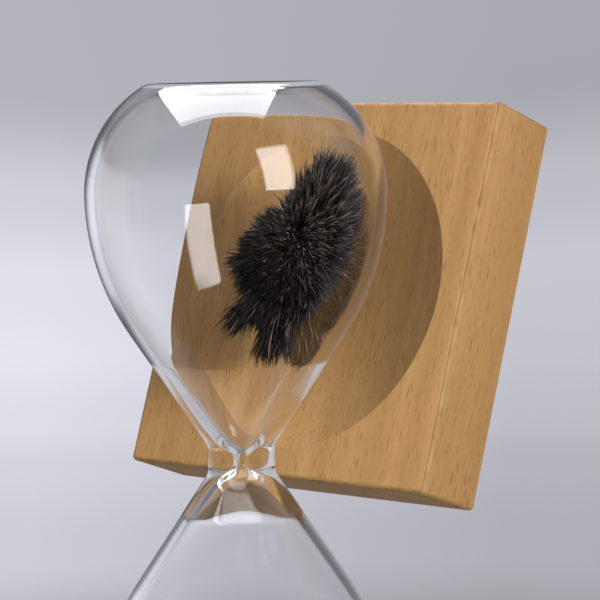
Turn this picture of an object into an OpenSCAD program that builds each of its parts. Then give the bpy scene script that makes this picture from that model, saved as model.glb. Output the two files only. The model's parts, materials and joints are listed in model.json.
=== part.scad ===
// Magnetic hourglass: a sealed glass timer filled with iron filings, and a dished beech
// base with a magnet in it, which clings to the side of the upper bulb.
// Millimetres, +Z up. The origin is the centre of the flat foot that the glass stands on,
// and the dish of the base faces -Y.

/* [Glass] */
// Widest outside diameter of a bulb
bulb_d = 65; // [62:0.5:68]
// Outside diameter of the waist
neck_d = 14.5; // [12:0.5:16]
// Length of the straight waist between the two bulbs
neck_h = 3.6; // [3:0.2:8]
// Slope of the funnel, measured from the axis
cone_angle = 33.6; // [31:0.2:36]
// Radius of the long curve from the funnel to the widest ring
belly_r = 55; // [48:1:60]
// Radius of the shoulder above the widest ring
shoulder_r = 27; // [24:0.5:30]
// Turn of the shoulder before the corner of the flat end
shoulder_turn = 57.5; // [54:0.5:62]
// Outside radius of the corner round the flat end
foot_corner_r = 5; // [4:0.5:7]
// Fillet where the funnel runs into the waist
waist_fillet = 4; // [1:0.1:6]
// Thickness of the glass
wall = 2; // [1.4:0.1:2.4]
// Diameter of the hole that the filings fall through
orifice_d = 2.4; // [1.8:0.1:3.4]
// Length of the straight hole above the middle of the waist
upper_hole_h = 1.2; // [0.6:0.1:3]
// Length of the straight hole below the middle of the waist
lower_hole_h = 1.6; // [0.6:0.1:3]
// Rounding where the hole opens into the throat
hole_fillet = 3; // [0.5:0.1:4]
// Height above the waist at which the thick throat of the upper bulb has thinned to the wall
upper_throat_h = 22; // [16:0.5:24]
// Depth below the waist at which the thick throat of the lower bulb has thinned to the wall
lower_throat_h = 13; // [10:0.5:16]
// Rounding where the throat runs into the wall
throat_fillet = 12; // [6:1:20]

/* [Base] */
// Side of the square base
base_w = 86; // [82:0.5:90]
// Thickness of the base
base_t = 18.5; // [16:0.5:24]
// Rounding of all edges of the base
edge_r = 1; // [0.5:0.1:2]
// Diameter of the dish
dish_d = 73; // [66:0.5:76]
// Depth of the dish
dish_depth = 5; // [4:0.1:6]
// Rounding of the dish's rim
dish_rim_r = 0.8; // [0.4:0.1:1.5]
// Lean of the base from upright
base_lean = 19.5; // [17:0.5:23]
// Drop of the base's lower edge below the waist
edge_drop = 5; // [2:0.5:8]
// Gap between the base and the glass where it rests
seat_gap = 0.3; // [0.2:0.05:0.6]

/* [Magnet] */
// Diameter of the magnet
magnet_d = 26; // [18:1:34]
// Thickness of the magnet
magnet_t = 4; // [3:0.5:6]
// Wood left between the dish and the magnet
dish_floor_t = 3; // [2:0.25:4]
// Thickness of the glue over the magnet
glue_t = 0.4; // [0.2:0.1:0.8]
// Gap all round the magnet and its plug
bore_gap = 0.2; // [0.1:0.05:0.4]

/* [Felt pads] */
// Diameter of a felt pad
pad_d = 10; // [6:1:14]
// Thickness of a felt pad
pad_t = 1.5; // [1:0.25:3]
// Distance from an edge of the base to a pad's rim
pad_inset = 5; // [3:0.5:8]

/* [Iron filings] */
// Height of the middle of the clump above the waist
clump_rise = 42; // [38:0.5:46]
// Distance of the middle of the clump behind the axis
clump_back = 16; // [14:0.5:19]
// Distance of the middle of the clump to the right of the axis
clump_side = 3; // [-3:0.5:4]
// Radius of the clump between its tufts, which sets their length too
clump_r = 13; // [9:0.5:14]
// Depth of the furrows between needles, as a share of their length
furrow = 0.65; // [0.3:0.05:0.8]
// Half-width of a tuft, in degrees
tuft_spread = 30; // [24:1:45]
// Number of needles round the clump
needles_round = 22; // [14:1:26]
// Number of rings of needles
needle_rings = 25; // [15:2:29]
// Gap between the clump and the glass
clump_gap = 0.4; // [0.3:0.1:1]
// Distance that the clump slumps when the magnet goes
slump = 6; // [2:0.5:8]
// Dip of that slump below level, as the clump leaves the back of the bulb
slump_dip = 37; // [30:1:50]

/* [Hidden] */
$fn = 96;

// Glass profile, as radius and height above the waist
bulb_r = bulb_d / 2;
neck_r = neck_d / 2;
cone_sin = sin(cone_angle);
cone_cos = cos(cone_angle);
funnel_low = [
    neck_r + waist_fillet * (1 - cone_cos),
    neck_h / 2 + waist_fillet * cone_sin
];
funnel_run = (bulb_r - funnel_low.x - belly_r * (1 - cone_cos)) / cone_sin;
funnel_top = funnel_low + funnel_run * [cone_sin, cone_cos];
widest_z = funnel_top.y + belly_r * cone_sin;
belly_c = [bulb_r - belly_r, widest_z];
shoulder_c = [bulb_r - shoulder_r, widest_z];
shoulder_dir = [cos(shoulder_turn), sin(shoulder_turn)];
corner_c = shoulder_c + (shoulder_r - foot_corner_r) * shoulder_dir;
half_h = corner_c.y + foot_corner_r;

// Radius of the funnel's outside at a height below or above the waist
function funnel_r(h) =
    h < funnel_low.y ? funnel_low.x : funnel_low.x + (h - funnel_low.y) * tan(cone_angle);

// Throat, where the glass is thick: its inside opens wider than the outside does
inner_funnel_low = funnel_low + wall * [-cone_cos, cone_sin];
inner_funnel_top = funnel_top + wall * [-cone_cos, cone_sin];
throat_share = 0.9;
hole_foot = [orifice_d / 2, 0];
function hole_end(hole_h) = [orifice_d / 2, hole_h];
function throat_mouth(throat_h) =
    let (rise = min(throat_h, throat_share * inner_funnel_top.y) - inner_funnel_low.y)
        inner_funnel_low + rise * [tan(cone_angle), 1];

// Points of the arc that rounds the corner between two straight stretches
corner_steps = 8;
function rounded_corner(before, corner, after, r) =
    let (
        back = (before - corner) / norm(before - corner),
        ahead = (after - corner) / norm(after - corner),
        half = acos(back * ahead) / 2,
        centre = corner + r / sin(half) * (back + ahead) / norm(back + ahead),
        start = corner + r / tan(half) * back - centre,
        end = corner + r / tan(half) * ahead - centre,
        first = atan2(start.y, start.x),
        sweep = atan2(start.x * end.y - start.y * end.x, start * end)
    )
        [
            for (step = [0:corner_steps])
                let (angle = first + sweep * step / corner_steps)
                    centre + r * [cos(angle), sin(angle)]
        ];

// Radius of the upper bulb's inside at a height above the waist
upper_hole = hole_end(upper_hole_h);
upper_mouth = throat_mouth(upper_throat_h);
upper_slope = (upper_mouth.x - upper_hole.x) / (upper_mouth.y - upper_hole.y);
inner_belly_r = belly_r - wall;
inner_shoulder_r = shoulder_r - wall;
function cavity_r(h) =
    h < upper_hole.y ? upper_hole.x
    : h < upper_mouth.y ? upper_hole.x + (h - upper_hole.y) * upper_slope
    : h < inner_funnel_top.y ? inner_funnel_top.x - (inner_funnel_top.y - h) * tan(cone_angle)
    : h < widest_z ? belly_c.x + sqrt(inner_belly_r ^ 2 - (widest_z - h) ^ 2)
    : h < half_h - wall ? shoulder_c.x + sqrt(max(0, inner_shoulder_r ^ 2 - (h - widest_z) ^ 2))
    : 0;

// The base stands off from the glass by whichever touches first: its dish against the
// belly of the upper bulb, or its lower front edge against the lower bulb at the waist
base_rise = base_w / 2 * cos(base_lean) - edge_drop;
dish_r = dish_d / 2;
dish_sphere_r = (dish_r ^ 2 + dish_depth ^ 2) / (2 * dish_depth);
dish_centre_out = dish_sphere_r - dish_depth;
dish_centre_z = base_rise + dish_centre_out * sin(base_lean);
belly_reach = dish_sphere_r - belly_r - seat_gap;
dish_centre_y = belly_c.x - sqrt(belly_reach ^ 2 - (dish_centre_z - belly_c.y) ^ 2);
face_y_at_dish = dish_centre_y + dish_centre_out * cos(base_lean);
face_y_at_waist = funnel_r(edge_drop) + seat_gap / cone_cos + base_w / 2 * sin(base_lean);
face_y = max(face_y_at_dish, face_y_at_waist);

// Bore for the magnet, from the underside of the base
bore_d = magnet_d + 2 * bore_gap;
bore_top = -dish_depth - dish_floor_t;
magnet_top = bore_top - glue_t;
plug_top = magnet_top - magnet_t;
pad_offset = base_w / 2 - pad_inset - pad_d / 2;
cut_over = 1;

// Clump of filings. Each tuft is an arm from the clump's middle to its tip, to the right,
// to the back and up, in clump radii. The clump leans on the back of the bulb, at the magnet.
tufts = [
    [0.3, 0.2, 1.35],
    [1.5, 0.1, 1.7],
    [1.75, 0.15, 0.55],
    [1.45, 0.25, -0.4],
    [1, 0, -1.15],
    [0.4, -0.4, -2],
    [-0.15, -0.6, -1.75],
    [-1.35, -0.5, -1.45],
    [-1.4, -0.1, 0.1],
    [-0.65, 0, 0.85],
    [-0.1, 0.2, 1.15],
    [0.75, -1, 0.45],
    [0.15, -1.1, -0.6]
];
clump_c = [clump_side, clump_back, clump_rise];
slump_move = slump * [0, -cos(slump_dip), -sin(slump_dip)];
needle_seed = 11;
needle_shortest = 0.84;
bisections = 14;
round_count = 2 * needles_round;
length_shares = rands(needle_shortest, 1, needle_rings * round_count, needle_seed);

// A point is in the bulb if it keeps the gap from the glass, before and after the slump
function clear_of_glass(p) = norm([p.x, p.y]) < cavity_r(p.z) - clump_gap;
function fits(p) = clear_of_glass(p) && clear_of_glass(p + slump_move);

// Furthest that a needle may reach from the clump's middle, by bisection
function glass_reach(d, low, high, steps) =
    steps == 0 ? low
    : let (mid = (low + high) / 2)
        fits(clump_c + mid * d) ? glass_reach(d, mid, high, steps - 1)
        : glass_reach(d, low, mid, steps - 1);

// Reach of the tufts in a direction: each swells towards its tip and fades round it
function angle_between(a, b) = acos(max(-1, min(1, a * b / norm(a) / norm(b))));
function tuft_reach(d) = max([
    for (arm = tufts)
        let (share = exp(-(angle_between(d, arm) / tuft_spread) ^ 2))
            clump_r * (1 + (norm(arm) - 1) * share)
]);

// Needles and furrows alternate over a grid of directions, whose poles face along Y
function direction(ring, step) =
    let (polar = 180 * (ring + 1) / (needle_rings + 1), turn = 360 * step / round_count)
        [sin(polar) * cos(turn), -cos(polar), sin(polar) * sin(turn)];
function needle_point(ring, step) =
    let (
        d = direction(ring, step),
        reach = min(tuft_reach(d), glass_reach(d, 0, bulb_d, bisections)),
        share = (ring + step) % 2 == 0 ? length_shares[ring * round_count + step] : furrow
    )
        clump_c + reach * share * d;
function pole_point(d) =
    clump_c + furrow * min(tuft_reach(d), glass_reach(d, 0, bulb_d, bisections)) * d;

// Outline of half the bulb's section over a given waist, moved in from the outer face by an inset
module bulb_section(waist, inset) {
    top = funnel_top + inset * [-cone_cos, cone_sin];
    flat_z = half_h - inset;
    intersection() {
        union() {
            polygon(concat(
                [[0, 0]],
                waist,
                [
                    top,
                    [bulb_r - inset, widest_z],
                    shoulder_c + (shoulder_r - inset) * shoulder_dir,
                    [corner_c.x, flat_z],
                    [0, flat_z]
                ]
            ));
            pie(belly_c, belly_r - inset, -cone_angle, 0);
            pie(shoulder_c, shoulder_r - inset, 0, shoulder_turn);
            pie(corner_c, foot_corner_r - inset, shoulder_turn, 90);
        }
        square([bulb_d, 2 * half_h]);
    }
}

// Slice of a disc between two angles
module pie(c, r, from, to) {
    far = 2 * r;
    middle = (from + to) / 2;
    translate(c)
        intersection() {
            circle(r);
            polygon([
                [0, 0],
                far * [cos(from), sin(from)],
                far * [cos(middle), sin(middle)],
                far * [cos(to), sin(to)]
            ]);
        }
}

// Inside of a bulb: the hole, the throat that opens from it, and the room for the filings
module cavity_section(hole_h, throat_h) {
    hole = hole_end(hole_h);
    mouth = throat_mouth(throat_h);
    bulb_section(concat(
        [hole_foot],
        rounded_corner(hole_foot, hole, mouth, hole_fillet),
        rounded_corner(hole, mouth, inner_funnel_top, throat_fillet)
    ), wall);
}

// One blown bulb, from the middle of the waist up to its flat end
module bulb(hole_h, throat_h) {
    rotate_extrude()
        difference() {
            bulb_section([[neck_r, 0], [neck_r, neck_h / 2], funnel_low], 0);
            translate([neck_r + waist_fillet, neck_h / 2])
                circle(waist_fillet);
            cavity_section(hole_h, throat_h);
        }
}

module upper_bulb() {
    color([0.86, 0.91, 0.93, 0.35])
        translate([0, 0, half_h])
            bulb(upper_hole_h, upper_throat_h);
}

module lower_bulb() {
    color([0.84, 0.89, 0.92, 0.35])
        translate([0, 0, half_h])
            mirror([0, 0, 1])
                bulb(lower_hole_h, lower_throat_h);
}

module iron_filings() {
    grid = [
        for (ring = [0:needle_rings - 1], step = [0:round_count - 1])
            needle_point(ring, step)
    ];
    front = len(grid);
    back = front + 1;
    points = concat(grid, [pole_point([0, -1, 0]), pole_point([0, 1, 0])]);
    last = needle_rings - 1;
    // Each square of the grid is cut between its two furrows, so every needle is a pyramid
    sides = [
        for (ring = [0:last - 1], step = [0:round_count - 1])
            let (
                next = (step + 1) % round_count,
                a = ring * round_count + step,
                b = ring * round_count + next,
                c = a + round_count,
                d = b + round_count,
                needle_first = (ring + step) % 2 == 0
            )
                each needle_first ? [[a, b, c], [b, d, c]] : [[a, b, d], [a, d, c]]
    ];
    caps = [
        for (step = [0:round_count - 1])
            let (next = (step + 1) % round_count)
                each [
                    [front, next, step],
                    [back, last * round_count + step, last * round_count + next]
                ]
    ];
    color([0.10, 0.09, 0.09])
        translate([0, 0, half_h])
            polyhedron(points, concat(sides, caps));
}

// Frame of the base: the origin is the centre of its front face, +Z leaves the dish and
// +Y runs up the face
module on_base() {
    translate([0, face_y, half_h + base_rise])
        rotate([90 - base_lean, 0, 0])
            children();
}

module rounded_rectangle(size, r) {
    for (side = [-1, 1], end = [-1, 1])
        translate([side * (size.x / 2 - r), end * (size.y / 2 - r)])
            circle(r);
    square([size.x - 2 * r, size.y], center = true);
    square([size.x, size.y - 2 * r], center = true);
}

// Square block with all twelve edges rounded: three rounded prisms cut each other
module rounded_block() {
    translate([0, 0, -base_t / 2])
        intersection() {
            linear_extrude(base_t, center = true)
                rounded_rectangle([base_w, base_w], edge_r);
            rotate([90, 0, 0])
                linear_extrude(base_w, center = true)
                    rounded_rectangle([base_w, base_t], edge_r);
            rotate([0, 90, 0])
                linear_extrude(base_w, center = true)
                    rounded_rectangle([base_t, base_w], edge_r);
        }
}

// Cutter for the dish: a ball, and a rim that rounds over into the face
module dish_cutter() {
    rim_c = [
        sqrt((dish_sphere_r + dish_rim_r) ^ 2 - (dish_centre_out + dish_rim_r) ^ 2),
        -dish_rim_r
    ];
    ball_c = [0, dish_centre_out];
    meet = ball_c + (rim_c - ball_c) * dish_sphere_r / (dish_sphere_r + dish_rim_r);
    rotate_extrude()
        intersection() {
            union() {
                translate(ball_c)
                    circle(dish_sphere_r, $fn = 360);
                difference() {
                    polygon([[0, meet.y], meet, [rim_c.x, 0], [rim_c.x, cut_over], [0, cut_over]]);
                    translate(rim_c)
                        circle(dish_rim_r);
                }
            }
            translate([0, -base_t])
                square([rim_c.x, base_t + cut_over]);
        }
}

module base_block() {
    color([0.76, 0.58, 0.38])
        on_base()
            difference() {
                rounded_block();
                dish_cutter();
                translate([0, 0, -base_t - cut_over])
                    cylinder(d = bore_d, h = base_t + cut_over + bore_top);
            }
}

module magnet() {
    color([0.64, 0.65, 0.67])
        on_base()
            translate([0, 0, plug_top])
                cylinder(d = magnet_d, h = magnet_t);
}

module magnet_glue() {
    color([0.86, 0.80, 0.60])
        on_base()
            translate([0, 0, magnet_top])
                cylinder(d = magnet_d, h = glue_t);
}

module bore_plug() {
    color([0.72, 0.54, 0.35])
        on_base()
            translate([0, 0, -base_t])
                cylinder(d = bore_d - 2 * bore_gap, h = base_t + plug_top);
}

module felt_pads() {
    color([0.24, 0.18, 0.14])
        on_base()
            for (side = [-1, 1], end = [-1, 1])
                translate([side * pad_offset, end * pad_offset, -base_t - pad_t])
                    cylinder(d = pad_d, h = pad_t);
}

upper_bulb();
lower_bulb();
iron_filings();
base_block();
magnet();
magnet_glue();
bore_plug();
felt_pads();
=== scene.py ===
"""Dresses the magnetic hourglass: its blown glass, iron filings and dished beech base, in a pale studio."""

import json
import math

import bpy
import numpy as np
from bpy.props import FloatProperty, FloatVectorProperty, IntProperty, PointerProperty
from mathutils import Matrix, Vector


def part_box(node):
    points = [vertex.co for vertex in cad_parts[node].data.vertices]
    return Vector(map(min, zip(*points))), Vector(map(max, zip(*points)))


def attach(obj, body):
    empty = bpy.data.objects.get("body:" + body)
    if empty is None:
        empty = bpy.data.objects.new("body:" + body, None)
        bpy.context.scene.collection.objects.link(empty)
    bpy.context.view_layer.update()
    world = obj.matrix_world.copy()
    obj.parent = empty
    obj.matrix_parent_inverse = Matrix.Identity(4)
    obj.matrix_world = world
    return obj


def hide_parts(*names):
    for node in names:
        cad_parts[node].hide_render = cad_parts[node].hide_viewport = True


bl_info = {
    "name": "Magnetic Hourglass",
    "version": (1, 0, 0),
    "blender": (4, 5, 0),
    "location": "View3D > Sidebar > Hourglass",
    "description": "Builds the glass, the iron filings, the beech base and the studio round the frame",
    "category": "Add Mesh",
}

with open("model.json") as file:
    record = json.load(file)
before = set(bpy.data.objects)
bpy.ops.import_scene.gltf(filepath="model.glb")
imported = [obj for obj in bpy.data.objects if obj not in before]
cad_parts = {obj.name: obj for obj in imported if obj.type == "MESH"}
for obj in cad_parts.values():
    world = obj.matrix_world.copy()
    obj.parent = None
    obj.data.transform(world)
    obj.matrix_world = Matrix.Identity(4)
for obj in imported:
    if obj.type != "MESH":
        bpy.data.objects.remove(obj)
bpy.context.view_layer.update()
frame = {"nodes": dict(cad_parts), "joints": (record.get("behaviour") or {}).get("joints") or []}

IMAGE_WIDTH = 600
SENSOR_WIDTH = 36.0
# Lobes of the filings: turn from the right in the picture, tilt to the viewer, reach in mm and spread
LOBES = (
    (68, 5, 29.5, 24), (42, 14, 27.5, 24), (15, 32, 26.0, 24), (-10, 35, 25.5, 24), (-35, 35, 24.5, 24),
    (-60, 30, 25.0, 20), (-85, 21, 32.5, 16), (-110, 8, 26.0, 19), (-122, 4, 25.0, 14), (-137, 3, 25.5, 15),
    (-165, 5, 16.8, 18), (178, 5, 17.3, 20), (150, 5, 16.0, 24), (118, 5, 16.0, 24), (0, 75, 16.5, 45),
)
# Needles: points of one, place of its bend along it and radius there, as shares, and what chance does
NEEDLE_POINTS = 7
NEEDLE_BEND = 0.68
BEND_RADIUS = 0.85
BEND_SCATTER = 0.05
WAY_SCATTER = 0.14
NEEDLE_LENGTHS = (0.72, 1.08)
NEEDLE_RADII = (0.7, 1.2)
# Tufts: lengths, and how much shorter a tuft is at its edge
TUFT_LENGTHS = (0.80, 1.10)
TUFT_FALL = 0.35
CORE_ROWS = 48
CORE_COLUMNS = 96
# Light that is mirrored more often than this ends inside the glass, which shows a painted pale glow there
MOST_MIRRORED = 4.5
SWEEP_REACH = 1.6
SWEEP_SEGMENTS = 128
# Depth behind the glass and tone of the sweep's painted glow there
SWEEP_TONES = (
    (-0.8, 0.02), (-0.035, 0.03), (0.0, 0.45), (0.35, 0.61), (0.52, 0.66), (0.65, 0.73), (0.96, 0.785),
    (1.17, 0.75), (1.28, 0.63), (1.38, 0.46), (1.46, 0.455),
)
# Height that the lamps aim at, as a share of the waist's, and size and distance of the plain lamps
LAMP_AIM = 1.4
LAMP_SIZE = (0.7, 0.7)
LAMP_DISTANCE = 1.2
# Flag: how far it reaches in over the face's edge and out beyond it, its low and high edge, and its depth
FLAG_INSIDE = 0.0009
FLAG_OUTSIDE = 0.2
FLAG_LOW = -0.08
FLAG_HIGH = 0.13
FLAG_DEPTH = -0.00003

# What the frame fixes: the glass stands on the floor, and the base leans on it square to the pull
bulb_low, bulb_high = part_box("upper_bulb")
block_low, block_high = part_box("base_block")
joints = {joint["name"]: joint for joint in frame["joints"]}
pull_axis = Vector(joints["base_pull"]["axis"])
slump_axis = Vector(joints["filings_slump"]["axis"])
slump_travel = joints["filings_slump"]["range_m"][1]
waist_height = bulb_low.z
base_lean = math.atan2(-pull_axis.z, pull_axis.y)


class GlassSettings(bpy.types.PropertyGroup):
    """Sizes and finish of the blown glass."""

    bulb_radius: FloatProperty(
        name="Bulb radius", description="Widest outside radius of a bulb",
        default=bulb_high.x, unit="LENGTH")
    neck_radius: FloatProperty(
        name="Waist radius", description="Outside radius of the waist",
        default=0.00725, unit="LENGTH")
    neck_height: FloatProperty(
        name="Waist height", description="Length of the straight waist",
        default=0.0036, unit="LENGTH")
    cone_angle: FloatProperty(
        name="Funnel slope", description="Slope of the funnel from the axis",
        default=math.radians(33.6), subtype="ANGLE")
    belly_radius: FloatProperty(
        name="Belly radius", description="Radius of the curve from the funnel to the widest ring",
        default=0.055, unit="LENGTH")
    shoulder_radius: FloatProperty(
        name="Shoulder radius", description="Radius of the shoulder above the widest ring",
        default=0.027, unit="LENGTH")
    shoulder_turn: FloatProperty(
        name="Shoulder turn", description="Turn of the shoulder before the corner of the flat end",
        default=math.radians(57.5), subtype="ANGLE")
    corner_radius: FloatProperty(
        name="Corner radius", description="Radius of the corner round the flat end",
        default=0.005, unit="LENGTH")
    waist_fillet: FloatProperty(
        name="Waist fillet", description="Fillet where the funnel runs into the waist",
        default=0.004, unit="LENGTH")
    wall: FloatProperty(
        name="Wall", description="Thickness of the glass",
        default=0.002, unit="LENGTH")
    hole_radius: FloatProperty(
        name="Hole radius", description="Radius of the hole that the filings fall through",
        default=0.0012, unit="LENGTH")
    upper_hole: FloatProperty(
        name="Upper hole", description="Length of the straight hole above the middle of the waist",
        default=0.0012, unit="LENGTH")
    lower_hole: FloatProperty(
        name="Lower hole", description="Length of the straight hole below the middle of the waist",
        default=0.0016, unit="LENGTH")
    upper_throat: FloatProperty(
        name="Upper throat", description="Height above the waist where the upper throat thins to the wall",
        default=0.022, unit="LENGTH")
    lower_throat: FloatProperty(
        name="Lower throat", description="Depth below the waist where the lower throat thins to the wall",
        default=0.013, unit="LENGTH")
    hole_fillet: FloatProperty(
        name="Hole rounding", description="Rounding where the hole opens into the throat",
        default=0.003, unit="LENGTH")
    throat_fillet: FloatProperty(
        name="Throat rounding", description="Rounding where the throat runs into the wall",
        default=0.012, unit="LENGTH")
    index: FloatProperty(
        name="Refractive index", description="Refractive index of the glass", default=1.47)
    # Colour of the painted glow where mirrored light ends in the glass
    painted_glow_colour: FloatVectorProperty(
        name="Depth colour", description="Tone of light that is lost inside the wall",
        default=(0.55, 0.55, 0.58), size=3, subtype="COLOR")
    colour: FloatVectorProperty(
        name="Glass colour", description="Tint of the glass",
        default=(0.985, 0.99, 0.99), size=3, subtype="COLOR")
    segments: IntProperty(
        name="Segments", description="Number of segments round the glass", default=192)


class FilingsSettings(bpy.types.PropertyGroup):
    """Number, size and finish of the iron needles."""

    middle: FloatVectorProperty(
        name="Middle", description="Middle of the clump",
        default=(0.003, 0.016, waist_height + 0.042), size=3, subtype="XYZ")
    clump_radius: FloatProperty(
        name="Clump radius", description="Reach of the needles between the lobes",
        default=0.0125, unit="LENGTH")
    needle_count: IntProperty(
        name="Needles", description="Number of needles", default=19000)
    tuft_count: IntProperty(
        name="Tufts", description="Number of tufts that the needles gather in", default=300)
    needle_radius: FloatProperty(
        name="Needle radius", description="Radius of a needle at its root",
        default=0.00017, unit="LENGTH", precision=5)
    root_share: FloatProperty(
        name="Root depth", description="Where needles start, as a share of the clump's reach",
        default=0.58, subtype="FACTOR")
    core_share: FloatProperty(
        name="Core size", description="Size of the dense core, as a share of the clump's reach",
        default=0.60, subtype="FACTOR")
    gather: FloatProperty(
        name="Gather", description="Share by which the needles of a tuft lean together",
        default=0.55, subtype="FACTOR")
    burst: FloatVectorProperty(
        name="Burst centre", description="Point that the needles point away from",
        default=(0.0055, 0.013, waist_height + 0.048), size=3, subtype="XYZ")
    burst_share: FloatProperty(
        name="Burst share", description="How far needles follow the burst and not the clump's middle",
        default=0.7, subtype="FACTOR")
    glass_gap: FloatProperty(
        name="Gap to the glass", description="Least distance of a needle's tip from the glass",
        default=0.0004, unit="LENGTH", precision=5)
    colour: FloatVectorProperty(
        name="Iron colour", description="Colour of the iron",
        default=(0.017, 0.013, 0.0113), size=3, subtype="COLOR")
    seed: IntProperty(name="Seed", description="Seed of the needles' chance", default=7)


class BaseSettings(bpy.types.PropertyGroup):
    """Sizes and finish of the beech base and of what is in and under it."""

    thickness: FloatProperty(
        name="Thickness", description="Thickness of the block", default=0.0185, unit="LENGTH")
    edge_radius: FloatProperty(
        name="Edge radius", description="Rounding of the block's edges",
        default=0.001, unit="LENGTH")
    dish_radius: FloatProperty(
        name="Dish radius", description="Radius of the dish's rim", default=0.0365, unit="LENGTH")
    dish_depth: FloatProperty(
        name="Dish depth", description="Depth of the dish", default=0.005, unit="LENGTH")
    rim_radius: FloatProperty(
        name="Rim rounding", description="Rounding of the dish's rim",
        default=0.0008, unit="LENGTH")
    floor_thickness: FloatProperty(
        name="Floor", description="Wood between the dish and the magnet's bore",
        default=0.003, unit="LENGTH")
    bore_radius: FloatProperty(
        name="Bore radius", description="Radius of the magnet's bore",
        default=0.0132, unit="LENGTH")
    plug_radius: FloatProperty(
        name="Plug radius", description="Radius of the plug in the bore",
        default=0.013, unit="LENGTH")
    plug_top: FloatProperty(
        name="Plug top", description="Depth of the plug's inner end below the face",
        default=0.0124, unit="LENGTH")
    plug_chamfer: FloatProperty(
        name="Plug chamfer", description="Chamfer of the plug's edges",
        default=0.0004, unit="LENGTH")
    pad_radius: FloatProperty(
        name="Pad radius", description="Radius of a felt pad", default=0.005, unit="LENGTH")
    pad_thickness: FloatProperty(
        name="Pad thickness", description="Thickness of a felt pad",
        default=0.0015, unit="LENGTH")
    pad_offset: FloatProperty(
        name="Pad offset", description="Distance of a pad's centre from the block's middle lines",
        default=0.033, unit="LENGTH")
    wood_light: FloatVectorProperty(
        name="Pale wood", description="Colour of the pale wood",
        default=(0.60, 0.355, 0.150), size=3, subtype="COLOR")
    wood_dark: FloatVectorProperty(
        name="Dark wood", description="Colour of the darker growth bands",
        default=(0.49, 0.275, 0.105), size=3, subtype="COLOR")
    fleck: FloatVectorProperty(
        name="Ray flecks", description="Colour of the short dark ray flecks",
        default=(0.20, 0.095, 0.033), size=3, subtype="COLOR")
    # Colour of the painted highlight along the face's edges
    painted_edge_highlight: FloatVectorProperty(
        name="Worn edge", description="Colour of the worn edges of the face",
        default=(0.72, 0.47, 0.20), size=3, subtype="COLOR")
    felt: FloatVectorProperty(
        name="Felt", description="Colour of the felt",
        default=(0.052, 0.034, 0.022), size=3, subtype="COLOR")


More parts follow.
